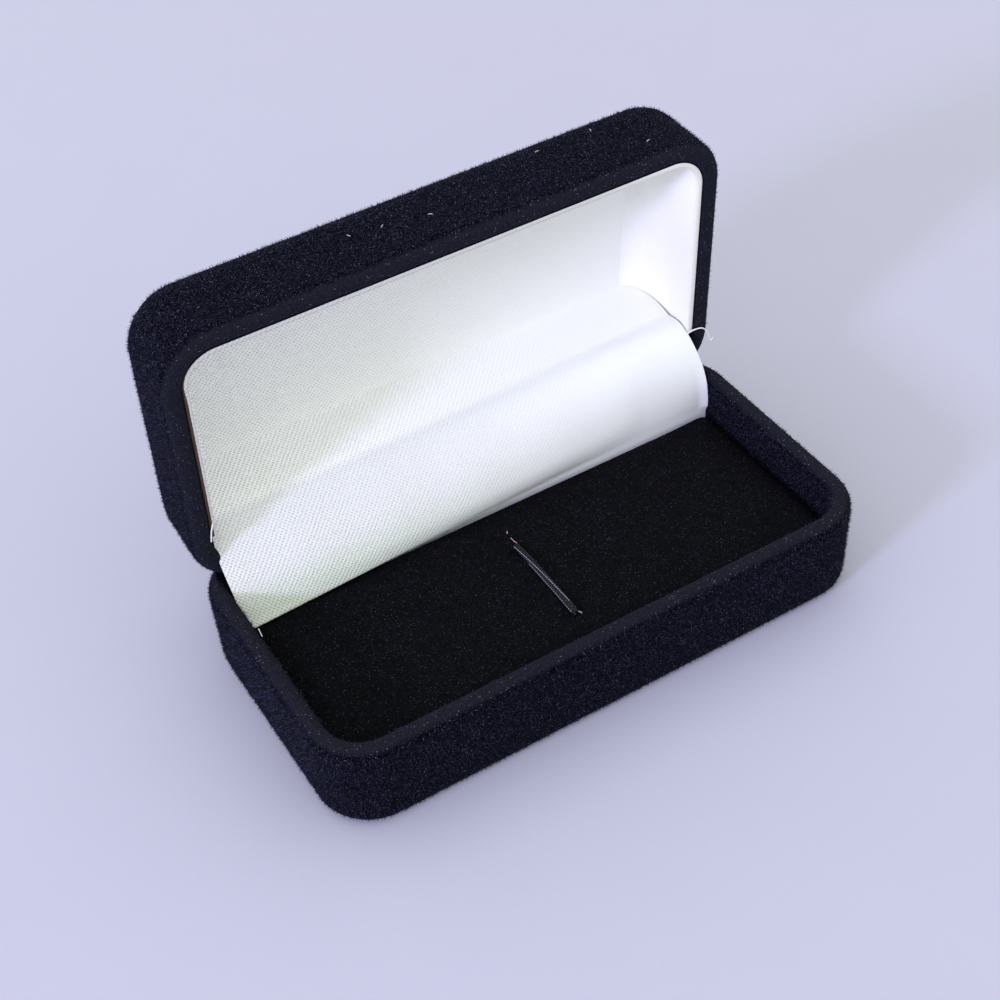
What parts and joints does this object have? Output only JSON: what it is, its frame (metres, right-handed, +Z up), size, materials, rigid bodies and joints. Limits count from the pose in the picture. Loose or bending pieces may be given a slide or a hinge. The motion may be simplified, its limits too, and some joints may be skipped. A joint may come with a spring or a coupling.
{
  "type": "cufflink display box",
  "caption": "Rounded rectangular cufflink case in dark flock, its hinged lid open on a satin lining, with a velvet pad and an elastic strap in the base.",
  "frame": {"origin": "middle of the base's underside, on the surface the case stands on", "axes": "+X to the right along the case's length for someone facing its open front, +Y from the front to the hinge, +Z up"},
  "size_m": [0.085, 0.0539, 0.0568],
  "materials": {
    "flock": "matte",
    "velvet": "matte",
    "foam": "matte",
    "pad_card": "matte",
    "elastic": "satin",
    "staple_wire": "satin",
    "lining_card": "matte",
    "satin": "satin",
    "hinge_steel": "satin",
    "pin_steel": "polished",
    "spring_steel": "polished"
  },
  "bodies": {
    "base": {"base_shell": "flock", "base_hinge_leaf": "hinge_steel", "hinge_pins": "pin_steel", "snap_spring": "spring_steel", "pad_card": "pad_card", "pad_foam": "foam", "pad_velvet": "velvet", "elastic_strap": "elastic", "strap_staples": "staple_wire", "flap_anchor_card": "lining_card"},
    "lid": {"lid_shell": "flock", "lid_hinge_leaf": "hinge_steel", "lid_wall_card": "lining_card", "lid_wall_satin": "satin", "lid_back_card": "lining_card", "lid_ceiling_card": "lining_card", "lid_ceiling_satin": "satin", "hinge_satin": "satin"}
  },
  "joints": [
    {"name": "lid_hinge", "type": "hinge", "parent": "base", "child": "lid", "pos_m": [0, 0.01857, 0.016], "axis": [1, 0, 0], "range_deg": [0, 86.5], "deforming": ["snap_spring", "hinge_satin"]}
  ]
}
